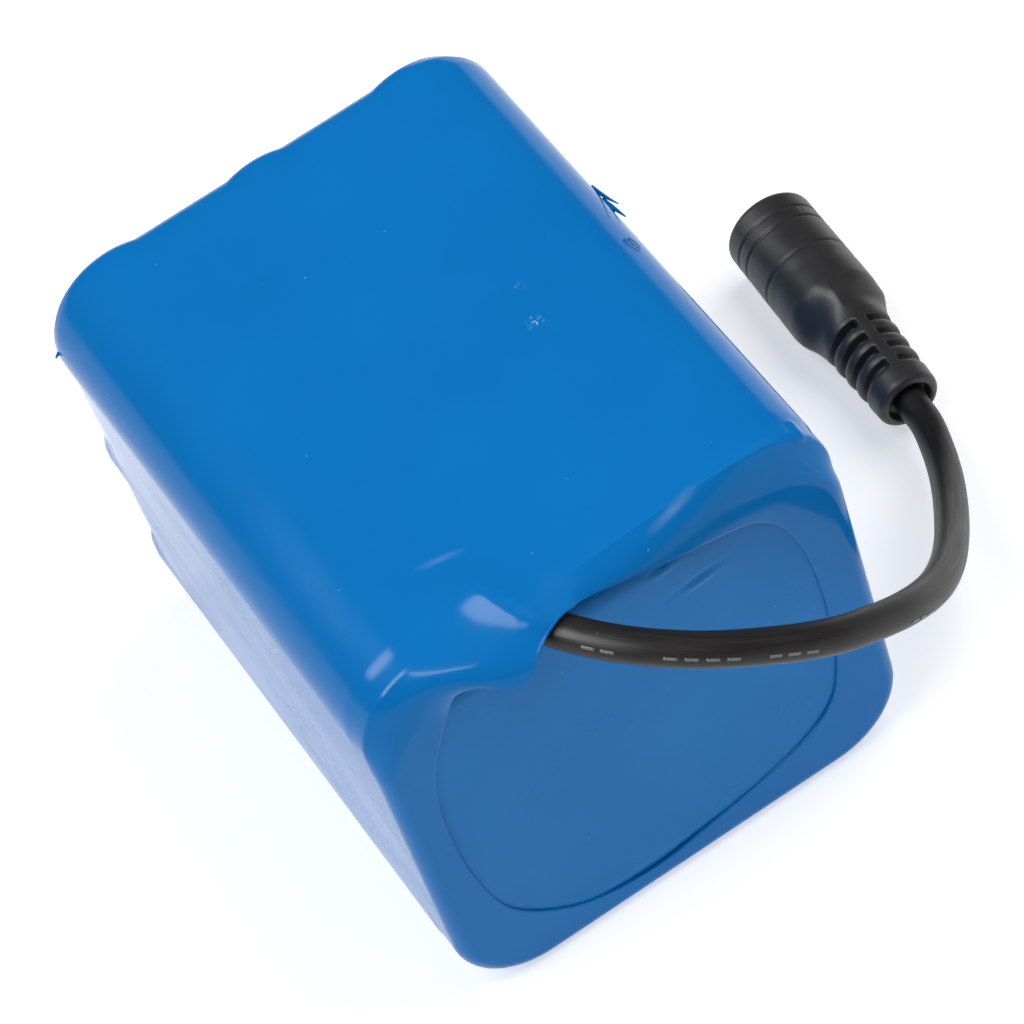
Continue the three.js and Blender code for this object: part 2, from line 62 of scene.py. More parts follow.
SLEEVE_HIGH = box_mm("shrink_sleeve")[1]
PLATE_HIGH = box_mm("front_end_plate")[1]
HALF_WIDTH = SLEEVE_HIGH[0]
HALF_LENGTH = SLEEVE_HIGH[1]
MID_Z = SLEEVE_HIGH[2] / 2
FILM = 0.3                     # wall of the shrink sleeve
CORNER = 9.55                  # radius of the long edges, over a cell
PITCH_X = HALF_WIDTH - CORNER
PITCH_Z = MID_Z - CORNER
PLATE_INSET = HALF_WIDTH - PLATE_HIGH[0]

# The middle line of the lead, as in the CAD part.
CABLE_ROUTE = [
    (-7.8, -33.8, 52.6), (-7.3, -35.0, 52.6), (-5.7, -37.3, 52.3), (-3.4, -40.0, 51.6),
    (-0.9, -42.3, 50.8), (1.8, -44.2, 49.8), (4.7, -45.8, 48.6), (7.8, -47.0, 47.2),
    (11.0, -47.8, 45.5), (14.4, -48.3, 43.5), (18.1, -48.2, 41.0), (22.2, -47.2, 37.9),
    (26.9, -45.2, 33.8), (31.9, -41.3, 28.2), (35.9, -36.6, 23.2), (39.3, -31.4, 18.5),
    (42.3, -26.1, 14.3), (44.9, -21.1, 10.9), (47.1, -16.4, 8.3), (48.8, -12.0, 6.7),
    (50.0, -8.0, 6.0), (50.4, -4.6, 5.7),
]
CABLE_RADIUS = 1.9
SOCKET_TAIL = np.array((50.4, -4.3, 5.7))
SOCKET_TURN = math.radians(-3.1)

# ---- Camera ----

CAMERA_PLACE = (-74.1, -295.55, 417.6)
CAMERA_RIGHT = (0.82966, -0.51286, -0.22053)
CAMERA_AHEAD = (0.15611, 0.59240, -0.79038)
CAMERA_LENS = 162.2


def make_camera():
    data = bpy.data.cameras.new("camera")
    data.lens = CAMERA_LENS
    data.sensor_width = 36
    data.clip_start = 0.01
    data.clip_end = 20
    camera = bpy.data.objects.new("camera", data)
    bpy.context.scene.collection.objects.link(camera)
    right = Vector(CAMERA_RIGHT)
    ahead = Vector(CAMERA_AHEAD)
    axes = Matrix((right, right.cross(ahead), -ahead)).transposed()
    camera.matrix_world = Matrix.Translation(Vector(CAMERA_PLACE) * MM) @ axes.to_4x4()
    bpy.context.scene.camera = camera


# ---- Mesh helpers ----


def make_mesh(name, points, faces, material, smooth=True):
    """A new object from points in millimetres."""
    mesh = bpy.data.meshes.new(name)
    mesh.from_pydata((np.asarray(points, float) * MM).tolist(), [], faces)
    mesh.validate()
    mesh.polygons.foreach_set("use_smooth", [smooth] * len(mesh.polygons))
    mesh.materials.append(material)
    piece = bpy.data.objects.new(name, mesh)
    bpy.context.scene.collection.objects.link(piece)
    return piece


def grid_faces(rows, columns, close_columns=True, offset=0):
    """Quads of a grid of points stored row by row."""
    faces = []
    last = columns if close_columns else columns - 1
    for row in range(rows - 1):
        for column in range(last):
            beside = (column + 1) % columns
            a = offset + row * columns
            b = a + columns
            faces.append((a + column, a + beside, b + beside, b + column))
    return faces


def end_fans(count, columns):
    """Triangles that close the first and the last ring of a tube of count points. Its two centre points come
    after them."""
    faces = []
    last_ring = count - columns
    for column in range(columns):
        beside = (column + 1) % columns
        faces.append((count, beside, column))
        faces.append((count + 1, last_ring + column, last_ring + beside))
    return faces


def place(piece, slot, *replaced):
    """Rides on the pack and stands for CAD nodes; the slot is not used."""
    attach(piece, BODY)
    if replaced:
        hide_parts(*replaced)


def add_wall(piece, thickness, offset=0):
    """Gives a surface a wall, to both sides of it or, with an offset of -1, inside it."""
    wall = piece.modifiers.new("wall", "SOLIDIFY")
    wall.thickness = thickness * MM
    wall.offset = offset


def smooth_step(low, high, value):
    """0 up to low, 1 from high, with a smooth rise between them."""
    share = np.clip((value - low) / (high - low), 0, 1)
    return share * share * (3 - 2 * share)


def distances_along(points):
    """How far along a line each of its points lies."""
    return np.concatenate([[0], np.cumsum(np.linalg.norm(np.diff(points, axis=0), axis=1))])


def resample(places, known_places, points, period=None):
    """Points read off at other places along a line or around a loop."""
    return np.stack([np.interp(places, known_places, points[:, axis], period=period)
                     for axis in range(points.shape[1])], axis=1)


def spline(points, count):
    """Evenly spread points on the centripetal Catmull-Rom curve through the given ones."""
    points = np.asarray(points, float)
    ends = np.vstack([2 * points[0] - points[1], points, 2 * points[-1] - points[-2]])
    dense = []
    for index in range(1, len(ends) - 2):
        p0, p1, p2, p3 = ends[index - 1:index + 3]
        t0 = 0.0
        t1 = t0 + np.linalg.norm(p1 - p0) ** 0.5
        t2 = t1 + np.linalg.norm(p2 - p1) ** 0.5
        t3 = t2 + np.linalg.norm(p3 - p2) ** 0.5
        for t in np.linspace(t1, t2, 24, endpoint=False):
            a1 = (t1 - t) / (t1 - t0) * p0 + (t - t0) / (t1 - t0) * p1
            a2 = (t2 - t) / (t2 - t1) * p1 + (t - t1) / (t2 - t1) * p2
            a3 = (t3 - t) / (t3 - t2) * p2 + (t - t2) / (t3 - t2) * p3
            b1 = (t2 - t) / (t2 - t0) * a1 + (t - t0) / (t2 - t0) * a2
            b2 = (t3 - t) / (t3 - t1) * a2 + (t - t1) / (t3 - t1) * a3
            dense.append((t2 - t) / (t2 - t1) * b1 + (t - t1) / (t2 - t1) * b2)
    dense.append(points[-1])
    dense = np.array(dense)
    along = distances_along(dense)
    return resample(np.linspace(0, along[-1], count), along, dense)


# ---- Materials ----


def new_material(name, color, roughness, metallic=0.0):
    """A principled material with its uniform values on the shader itself."""
    material = bpy.data.materials.new(name)
    material.use_nodes = True
    shader = material.node_tree.nodes["Principled BSDF"]
    shader.inputs["Base Color"].default_value = (*color, 1)
    shader.inputs["Roughness"].default_value = roughness
    shader.inputs["Metallic"].default_value = metallic
    return material, shader


def add_node(shader, kind, inputs=(), **settings):
    """A node in the shader's tree; an input's value may be another node's output."""
    tree = shader.id_data
    made = tree.nodes.new(kind)
    for key, value in settings.items():
        setattr(made, key, value)
    for key, value in dict(inputs).items():
        if isinstance(value, bpy.types.NodeSocket):
            tree.links.new(value, made.inputs[key])
        else:
            made.inputs[key].default_value = value
    return made


def connect(shader, output, name):
    """Feeds another node's output into one of the shader's inputs."""
    shader.id_data.links.new(output, shader.inputs[name])


def object_place(shader, stretch=(1, 1, 1)):
    """Object coordinates in metres, scaled separately along each axis."""
    coordinate = add_node(shader, "ShaderNodeTexCoord")
    scaled = add_node(shader, "ShaderNodeVectorMath", {0: coordinate.outputs["Object"], 1: stretch},
                      operation="MULTIPLY")
    return scaled.outputs[0]


def noise(shader, scale, detail=3.0, stretch=(1, 1, 1)):
    """Noise in object space, per metre."""
    made = add_node(shader, "ShaderNodeTexNoise",
                    {"Vector": object_place(shader, stretch), "Scale": scale, "Detail": detail})
    return made.outputs["Fac"]


def ramp(shader, value, low, high, from_low=0.0, from_high=1.0):
    """Maps a value to the range low..high."""
    made = add_node(shader, "ShaderNodeMapRange",
                    {"Value": value, "From Min": from_low, "From Max": from_high,
                     "To Min": low, "To Max": high})
    return made.outputs["Result"]


def mix(shader, share, first, second):
    """A blend of two colours."""
    made = add_node(shader, "ShaderNodeMix", data_type="RGBA")
    tree = shader.id_data
    for socket, value in ((made.inputs[0], share), (made.inputs[6], first), (made.inputs[7], second)):
        if isinstance(value, bpy.types.NodeSocket):
            tree.links.new(value, socket)
        elif isinstance(value, tuple):
            socket.default_value = (*value, 1)
        else:
            socket.default_value = value
    return made.outputs[2]


def calculate(shader, operation, first, second):
    """The result of a sum, a product or a comparison of two values."""
    made = add_node(shader, "ShaderNodeMath", {0: first, 1: second}, operation=operation)
    return made.outputs[0]


def specks(shader, scale, size, share):
    """1 on sparse round specks, 0 elsewhere."""
    cells = add_node(shader, "ShaderNodeTexVoronoi",
                     {"Vector": object_place(shader), "Scale": scale, "Randomness": 1.0})
    near = ramp(shader, cells.outputs["Distance"], 1, 0, size * 0.6, size)
    channel = add_node(shader, "ShaderNodeSeparateColor", {"Color": cells.outputs["Color"]})
    chosen = calculate(shader, "LESS_THAN", channel.outputs[0], share)
    return calculate(shader, "MULTIPLY", near, chosen)


def bump(shader, height, distance, strength=1.0):
    made = add_node(shader, "ShaderNodeBump",
                    {"Height": height, "Distance": distance * MM, "Strength": strength})
    connect(shader, made.outputs["Normal"], "Normal")


def spot(shader, centre, radius):
    """1 at a point given in millimetres, falling to 0 at the radius."""
    offset = add_node(shader, "ShaderNodeVectorMath",
                      {0: object_place(shader), 1: [value * MM for value in centre]},
                      operation="DISTANCE")
    return ramp(shader, offset.outputs["Value"], 1, 0, 0, radius * MM)


def streak(shader, start, end, width):
    """1 in the middle of a line between two points in millimetres, 0 beside it and at its ends."""
    start = np.array(start)
    step = np.array(end) - start
    length = np.linalg.norm(step)
    offset = add_node(shader, "ShaderNodeVectorMath", {0: object_place(shader), 1: list(start * MM)},
                      operation="SUBTRACT")
    aside = add_node(shader, "ShaderNodeVectorMath", {0: offset.outputs[0], 1: list(step / length)},
                     operation="CROSS_PRODUCT")
    size = add_node(shader, "ShaderNodeVectorMath", {0: aside.outputs[0]}, operation="LENGTH")
    across = ramp(shader, size.outputs["Value"], 1, 0, 0, width * MM)
    return calculate(shader, "MULTIPLY", across, spot(shader, start + step / 2, length / 2))


FILM_BLUE = (0.0048, 0.178, 0.53)
FILM_DEEP = (0.0040, 0.162, 0.49)


def film_material():
    """Glossy blue PVC: faint mottling, hazy patches and a little dust, with painted highlight streaks over
    the lead's ridge and along the front crease.
    """
    material, shader = new_material("blue_film", FILM_BLUE, 0.15)
    mottle = ramp(shader, noise(shader, 45, 3), 0, 1, 0.3, 0.7)
    color = mix(shader, mottle, FILM_BLUE, FILM_DEEP)
    dust = specks(shader, 520, 0.05, 0.10)
    color = mix(shader, calculate(shader, "MULTIPLY", dust, 0.5), color, (0.5, 0.62, 0.75))
    crumbs = ramp(shader, noise(shader, 2500, 2), 0, 0.6, 0.56, 0.62)
    scuffs = calculate(shader, "ADD", spot(shader, (11.8, -5.5, 55.7), 1.1),
                       spot(shader, (13.2, -0.3, 55.7), 0.7))
    color = mix(shader, calculate(shader, "MULTIPLY", scuffs, crumbs), color, (0.55, 0.66, 0.8))
    # Painted highlights: a pale streak where the film rises over the lead, and one along the front crease,
    # mixed into the base colour.
    painted_ridge_highlight = calculate(shader, "MULTIPLY", streak(shader, (-14.2, -23.9, 55.9), (-8.4, -25.2, 56.1), 0.6),
                          0.5)
    painted_highlight_streaks = calculate(shader, "ADD", streak(shader, (13.6, -33.9, 55.8), (6.2, -34.9, 54.6), 0.7),
                          painted_ridge_highlight)
    color = mix(shader, calculate(shader, "MULTIPLY", painted_highlight_streaks, 0.4), color, (0.34, 0.5, 0.78))
    connect(shader, color, "Base Color")
    haze = noise(shader, 60, 5, (1, 0.5, 1))
    fine = noise(shader, 900, 2)
    rough = calculate(shader, "ADD", ramp(shader, haze, 0.10, 0.24, 0.4, 0.75),
                      ramp(shader, fine, -0.02, 0.03))
    rough = calculate(shader, "ADD", rough, calculate(shader, "MULTIPLY", dust, 0.4))
    connect(shader, rough, "Roughness")
    shader.inputs["IOR"].default_value = 1.19
    bump(shader, noise(shader, 350, 3), 0.03, 0.12)
    return material


def plate_material():
    """Blue insulating sheet over the ends, duller than the film."""
    deep = (0.005, 0.172, 0.50)
    material, shader = new_material("blue_plate", deep, 0.22)
    shader.inputs["IOR"].default_value = 1.185
    mottle = ramp(shader, noise(shader, 70, 4), 0, 1, 0.35, 0.7)
    color = mix(shader, mottle, deep, (0.006, 0.185, 0.53))
    dust = specks(shader, 600, 0.05, 0.14)
    color = mix(shader, calculate(shader, "MULTIPLY", dust, 0.6), color, (0.55, 0.65, 0.75))
    connect(shader, color, "Base Color")
    connect(shader, ramp(shader, noise(shader, 110, 4), 0.17, 0.30, 0.35, 0.7), "Roughness")
    bump(shader, noise(shader, 500, 3), 0.02, 0.3)
    return material


def plain_material(name, color, second, roughness, metallic=0.0, scale=400, stretch=(1, 1, 1), relief=0.02,
                   strength=0.4):
    """Two close tones mixed by a noise, with the same noise in the roughness and the relief."""
    material, shader = new_material(name, color, roughness, metallic)
    grain = noise(shader, scale, 4, stretch)
    connect(shader, mix(shader, ramp(shader, grain, 0, 1, 0.3, 0.7), color, second), "Base Color")
    connect(shader, ramp(shader, grain, roughness * 0.8, roughness * 1.25, 0.3, 0.7), "Roughness")
    bump(shader, grain, relief, strength)
    return material


def cable_material():
    """Black PVC jacket, with faint die lines along it and dust. Its UV runs along and around it."""
    black = (0.0125, 0.0115, 0.0115)
    material, shader = new_material("black_jacket", black, 0.4)
    shader.inputs["Specular IOR Level"].default_value = 0.28
    around = add_node(shader, "ShaderNodeUVMap", uv_map="lead")
    lines = add_node(shader, "ShaderNodeVectorMath", {0: around.outputs[0], 1: (14, 46, 1)},
                     operation="MULTIPLY")
    die_lines = add_node(shader, "ShaderNodeTexNoise",
                         {"Vector": lines.outputs[0], "Scale": 1.0, "Detail": 3.0}).outputs["Fac"]
    color = mix(shader, ramp(shader, die_lines, 0, 1, 0.35, 0.7), black, (0.022, 0.020, 0.020))
    dust = specks(shader, 900, 0.07, 0.10)
    color = mix(shader, calculate(shader, "MULTIPLY", dust, 0.55), color, (0.3, 0.29, 0.28))
    connect(shader, color, "Base Color")
    connect(shader, ramp(shader, die_lines, 0.36, 0.5, 0.3, 0.7), "Roughness")
    bump(shader, noise(shader, 1500, 3), 0.012, 0.35)
    return material


def connector_material():
    """Black moulded PVC with a fine spark texture and a few pale rub marks."""
    black = (0.024, 0.0235, 0.0235)
    material, shader = new_material("black_overmould", black, 0.42)
    cloud = ramp(shader, noise(shader, 260, 4), 0, 1, 0.35, 0.7)
    color = mix(shader, cloud, black, (0.033, 0.033, 0.033))
    rubs = ramp(shader, noise(shader, 900, 5, (1, 0.35, 1)), 0, 0.5, 0.66, 0.8)
    color = mix(shader, rubs, color, (0.10, 0.10, 0.105))
    dust = specks(shader, 1100, 0.07, 0.06)
    color = mix(shader, calculate(shader, "MULTIPLY", dust, 0.5), color, (0.3, 0.3, 0.3))
    connect(shader, color, "Base Color")
    grain = noise(shader, 5200, 2)
    connect(shader, ramp(shader, grain, 0.36, 0.50, 0.3, 0.7), "Roughness")
    bump(shader, grain, 0.018, 0.5)
    return material


def board_material():
    """Green solder mask with lighter copper tracks under it."""
    green = (0.008, 0.075, 0.035)
    material, shader = new_material("solder_mask", green, 0.3)
    tracks = add_node(shader, "ShaderNodeTexBrick",
                      {"Vector": object_place(shader, (1, 1, 1)), "Scale": 160.0,
                       "Color1": (0, 0, 0, 1), "Color2": (0.2, 0.2, 0.2, 1), "Mortar": (1, 1, 1, 1),
                       "Mortar Size": 0.05})
    color = mix(shader, tracks.outputs["Color"], green, (0.02, 0.16, 0.07))
    connect(shader, color, "Base Color")
    connect(shader, ramp(shader, noise(shader, 700), 0.22, 0.4), "Roughness")
    bump(shader, tracks.outputs["Color"], 0.03, 0.5)
    return material


def tick_material():
    """Worn grey print on the jacket."""
    grey = (0.17, 0.17, 0.17)
    material, shader = new_material("grey_print", grey, 0.5)
    worn = ramp(shader, noise(shader, 2600, 3), 0, 1, 0.35, 0.6)
    connect(shader, mix(shader, worn, (0.11, 0.11, 0.11), grey), "Base Color")
    connect(shader, ramp(shader, worn, 0.4, 0.55), "Roughness")
    return material


# ---- Film ----

FRONT_Y = -HALF_LENGTH
FOLD = 2.0                     # how far the fold reaches in from the end and from the side
HOOD_ROWS_Y = -16              # the film's rows are closer together from here to the front
CREASE_ROWS_Y = -31.5          # and closer still from here
OPENING_CENTRE = np.array((0.0, 27.5))
REAR_OPENING = (45.0, 44.0, 14.0)
HOOD_ANGLES = (math.radians(88), math.radians(140))
HOOD_COLUMNS = 150
OTHER_COLUMNS = 330
LIP_REACH = 9.0                # how far from the front edge the film is lifted with it at the start
# Rows of points in each part of the film, from the rear face to the front face. The side has three parts.
REAR_FACE_ROWS = 9
REAR_FOLD_ROWS = 8
SIDE_ROWS = (42, 40, 16)
FRONT_FOLD_ROWS = 26
FRONT_FACE_ROWS = 22
EDGE_STEPS = 1600              # along the front edge's curve
ROD_STEPS = 12                 # along the lead's stiff inner end

# What the film is pulled over: the cells, the sheets around them, and the two end plates.
CELLS_FRONT = FRONT_Y + 3.5
CELLS_REAR = HALF_LENGTH - 0.4
CELL_ROUNDING = 2.1
SIDE_FRONT = FRONT_Y + 1.9
SIDE_REAR = HALF_LENGTH - 6
SIDE_ROUNDING = 0.6
SIDE_INSET = 0.12              # from the pack's outline, so that the cells show a little
FRONT_ROUNDING = 2.0
CREASE_DROP = 3.6              # how far the front end plate's top lies under the crease
REAR_ROUNDING = 3.2
REAR_INSET = 0.45

PASSES = 500
LAST_PASSES = 6                # after the film has been evened out
STEP = 0.95                    # share of the way to its neighbours' mean that a point moves in a pass
FIRST_FRONT_ROW = 60           # rows before this one don't reach the lead
CREASE_ROW = -40               # the row that says which columns cross the crease

# The film's front edge, as X, Y and Z, clockwise as seen from the front, from the right of the hood: along
# the top to the right corner, down, along the bottom, up the left side and back over the lead.
FRONT_EDGE = [
    (-1.4, -36.6, 53.6), (3.3, -36.85, 52.6), (8.1, -36.75, 51.2), (13.2, -36.1, 49.3), (17.2, -35.65, 47.4),
    (19.7, -35.5, 44.6), (21.2, -35.5, 40.4), (22.1, -35.5, 33.0), (22.1, -35.5, 24.5), (21.5, -35.5, 17.5),
    (19.8, -35.5, 12.0), (16.7, -35.5, 9.0), (12.1, -35.5, 7.1), (2.2, -35.5, 4.7), (-4.5, -35.5, 3.6),
    (-12.5, -35.5, 5.0), (-18.1, -35.5, 8.8), (-21.3, -35.5, 13.2), (-23.3, -35.5, 21.4),
    (-23.9, -35.5, 29.7), (-23.5, -35.5, 37.0), (-22.3, -35.5, 41.9), (-20.6, -35.5, 45.6),
    (-19.0, -35.6, 48.7), (-17.8, -36.4, 51.6), (-16.5, -37.3, 52.4), (-15.0, -38.3, 52.4),
    (-13.7, -39.3, 52.1), (-12.1, -39.9, 51.6), (-10.5, -39.8, 52.6), (-9.4, -39.2, 53.8),
    (-7.8, -38.4, 54.9), (-6.3, -37.8, 55.2), (-4.8, -37.2, 54.9), (-3.0, -36.7, 54.1),
]
# The lead's stiff inner end, which lies under the film and lifts it, as X, Y, Z and radius.
HOOD_ROD = [(-11.6, -24.5, 52.8, 2.4), (-10.9, -28.5, 54.1, 2.6), (-9.6, -32.5, 54.6, 2.6),
            (-8.2, -35.6, 54.0, 2.4), (-7.3, -36.6, 53.4, 2.15)]
# The crease over the front sheet's stiff top edge, as X, Y and Z, and the tilt of the film in front of it.
CREASE = np.array([
    (-7.0, -34.5, 54.4, 36), (-4.5, -34.4, 55.2, 40), (-1.0, -34.25, 55.55, 44), (3.0, -34.15, 55.75, 51),
    (8.0, -34.1, 55.84, 60), (13.0, -34.1, 55.86, 69), (17.0, -34.05, 55.78, 74), (20.0, -34.0, 55.4, 77),
    (22.5, -33.9, 54.6, 79), (25.0, -33.8, 52.9, 81),
])
CREASE_REACH = 2.4             # how far the crease holds the film, behind it and down in front of it


def outline_points(angles, half_width, half_height, radius):
    """Points of a rounded rectangle about (0, MID_Z) in the directions of the angles from the opening's
    centre."""
    count = 2400
    quarter = np.linspace(0, math.pi / 2, count // 8)
    pieces = []
    for turn, (sx, sz) in enumerate(((1, 1), (-1, 1), (-1, -1), (1, -1))):
        centre = np.array((sx * (half_width - radius), sz * (half_height - radius)))
        arc = quarter + turn * math.pi / 2
        pieces.append(centre + radius * np.stack([np.cos(arc), np.sin(arc)], axis=1))
    ring = np.vstack(pieces + [pieces[0][:1]])
    along = distances_along(ring)
    ring = resample(np.linspace(0, along[-1], count), along, ring)
    ring[:, 1] += MID_Z
    directions = np.arctan2(ring[:, 1] - OPENING_CENTRE[1], ring[:, 0] - OPENING_CENTRE[0])
    order = np.argsort(directions)
    return resample(angles, directions[order], ring[order], 2 * math.pi)


def front_edge_points(angles):
    """Points of the film's front edge in the given directions."""
    closed = FRONT_EDGE + FRONT_EDGE[:1]
    curve = spline(closed, EDGE_STEPS)[:-1]
    directions = np.arctan2(curve[:, 2] - OPENING_CENTRE[1], curve[:, 0] - OPENING_CENTRE[0])
    order = np.argsort(directions)
    return resample(angles, directions[order], curve[order], 2 * math.pi)


def column_angles():
    """Directions of the film's columns, closer together around the hood."""
    hood_start, hood_end = HOOD_ANGLES
    dense = np.linspace(hood_start, hood_end, HOOD_COLUMNS, endpoint=False)
    sparse = np.linspace(hood_end, hood_start + 2 * math.pi, OTHER_COLUMNS, endpoint=False)
    return np.concatenate([dense, sparse])


def fold_profile(count):
    """Inset from the side and from the end, through the quarter turn of a fold."""
    turn = np.linspace(0, math.pi / 2, count)
    return FOLD * (1 - np.cos(turn)), FOLD * (1 - np.sin(turn))


def film_start():
    """The film before it shrinks, as rows from the rear edge to the front edge."""
    angles = column_angles()
    edge = front_edge_points(angles)

    def ring(inset, y):
        flat = outline_points(angles, HALF_WIDTH - inset, MID_Z - inset, CORNER - inset)
        return np.stack([flat[:, 0], np.full(len(angles), y), flat[:, 1]], axis=1)

    width, height, radius = REAR_OPENING
    flat = outline_points(angles, width / 2, height / 2, radius)
    rear_edge = np.stack([flat[:, 0], np.full(len(angles), HALF_LENGTH), flat[:, 1]], axis=1)
    rear_face = ring(FOLD, HALF_LENGTH)
    rows = [rear_edge + (rear_face - rear_edge) * share for share in np.linspace(0, 1, REAR_FACE_ROWS)[:-1]]
    insets, backs = fold_profile(REAR_FOLD_ROWS)
    rows += [ring(inset, HALF_LENGTH - back) for inset, back in zip(insets[::-1], backs[::-1])]
    rear_rows, hood_rows, crease_rows = SIDE_ROWS
    long_side = np.concatenate([np.linspace(HALF_LENGTH - FOLD, HOOD_ROWS_Y, rear_rows)[1:],
                                np.linspace(HOOD_ROWS_Y, CREASE_ROWS_Y, hood_rows)[1:],
                                np.linspace(CREASE_ROWS_Y, FRONT_Y + FOLD, crease_rows)[1:-1]])
    rows += [ring(0, y) for y in long_side]
    insets, backs = fold_profile(FRONT_FOLD_ROWS)
    rows += [ring(inset, FRONT_Y + back) for inset, back in zip(insets, backs)]
    front_face = rows[-1]
    inner = edge.copy()
    inner[:, 1] = FRONT_Y
    rows += [front_face + (inner - front_face) * share for share in np.linspace(0, 1, FRONT_FACE_ROWS)[1:]]
    film = np.array(rows)
    lifted = edge - film[-1]
    steps = np.linalg.norm(np.diff(film, axis=0), axis=2)
    from_edge = np.concatenate([np.cumsum(steps[::-1], axis=0)[::-1], np.zeros((1, len(angles)))])
    film += np.exp(-(from_edge / LIP_REACH) ** 2)[:, :, None] * lifted
    return film


def extruded(flat, flat_normal, y, low, high, rounding):
    """Distance and direction from a flat shape extruded along Y with rounded end edges."""
    middle = (low + high) / 2
    across = flat + rounding
    along = np.abs(y - middle) - (high - low) / 2 + rounding
    outside = np.sqrt(np.maximum(across, 0) ** 2 + np.maximum(along, 0) ** 2)
    distance = outside + np.minimum(np.maximum(across, along), 0) - rounding
    share_across = np.where(outside > 0, np.maximum(across, 0), across > along)
    share_along = np.where(outside > 0, np.maximum(along, 0), across <= along)
    size = np.maximum(np.hypot(share_across, share_along), TINY)
    direction = np.stack([flat_normal[..., 0] * share_across / size,
                          np.sign(y - middle) * share_along / size,
                          flat_normal[..., 1] * share_across / size], axis=-1)
    return distance, direction


def cells_distance(points):
    """Distance from the nearest cell, over the film's thickness."""
    x = points[..., 0] - np.clip(np.round(points[..., 0] / PITCH_X), -1, 1) * PITCH_X
    up = points[..., 2] - MID_Z
    z = up - np.clip(np.round(up / PITCH_Z), -1, 1) * PITCH_Z
    size = np.maximum(np.hypot(x, z), TINY)
    normal = np.stack([x / size, z / size], axis=-1)
    return extruded(size - CORNER, normal, points[..., 1], CELLS_FRONT, CELLS_REAR, CELL_ROUNDING)


def block_distance(points, inset, low, high, rounding, drop=0.0):
    """Distance from a block as long as low to high, inset all round from the pack's outline. Its top can
    be dropped."""
    radius = CORNER - inset
    x = points[..., 0]
    z = points[..., 2] - MID_Z + drop / 2
    wide = np.abs(x) - (HALF_WIDTH - inset) + radius
    tall = np.abs(z) - (MID_Z - inset - drop / 2) + radius
    outside = np.hypot(np.maximum(wide, 0), np.maximum(tall, 0))
    flat = outside + np.minimum(np.maximum(wide, tall), 0) - radius
    nx = np.where(outside > 0, np.maximum(wide, 0), wide > tall)
    nz = np.where(outside > 0, np.maximum(tall, 0), wide <= tall)
    size = np.maximum(np.hypot(nx, nz), TINY)
    normal = np.stack([np.sign(x) * nx / size, np.sign(z) * nz / size], axis=-1)
    return extruded(flat, normal, points[..., 1], low, high, rounding)


def front_distance(points):
    """Distance from the front end plate, whose top stays clear of the fold."""
    return block_distance(points, SIDE_INSET, FRONT_Y, 0, FRONT_ROUNDING, CREASE_DROP)


def side_distance(points):
    """Distance from the sheets around the cells."""
    return block_distance(points, SIDE_INSET, SIDE_FRONT, SIDE_REAR, SIDE_ROUNDING)


def rear_distance(points):
    """Distance from the rear end plate, whose edge is well rounded."""
    return block_distance(points, REAR_INSET, 0, HALF_LENGTH, REAR_ROUNDING)


def smooth_rod(rod):
    """A rod of many short pieces through the given X, Y, Z and radius."""
    rod = np.array(rod)
    line = spline(rod[:, :3], ROD_STEPS)
    return np.column_stack([line, np.interp(line[:, 1], *rod[np.argsort(rod[:, 1])][:, [1, 3]].T)])


def rod_distance(points, rod):
    """Distance from a bent rod, given by X, Y, Z and radius."""
    best = np.full(points.shape[:-1], 1e9)
    direction = np.zeros_like(points)
    for start, end in zip(rod, rod[1:]):
        a = np.array(start[:3])
        step = np.array(end[:3]) - a
        share = np.clip(((points - a) @ step) / (step @ step), 0, 1)
        away = points - a - share[..., None] * step
        size = np.maximum(np.linalg.norm(away, axis=-1), TINY)
        radius = start[3] + share * (end[3] - start[3])
        nearer = size - radius < best
        best = np.where(nearer, size - radius, best)
        direction = np.where(nearer[..., None], away / size[..., None], direction)
    return best, direction


def crease_distance(points):
    """Distance from a wedge with its edge along the crease."""
    y, z, tilt = (np.interp(points[..., 0], CREASE[:, 0], CREASE[:, axis]) for axis in (1, 2, 3))
    tilt = np.radians(tilt)
    back = points[..., 1] - y
    up = points[..., 2] - z
    in_front = up * np.cos(tilt) - back * np.sin(tilt)
    on_front = in_front > up
    distance = np.where(on_front, in_front, up)
    near = (np.abs(back) < CREASE_REACH) & (up > -CREASE_REACH) & (distance > -1)
    forward = np.where(on_front, -np.sin(tilt), 0)
    upward = np.where(on_front, np.cos(tilt), 1)
    direction = np.stack([np.zeros_like(up), forward, upward], axis=-1)
    return np.where(near, distance, 1), direction


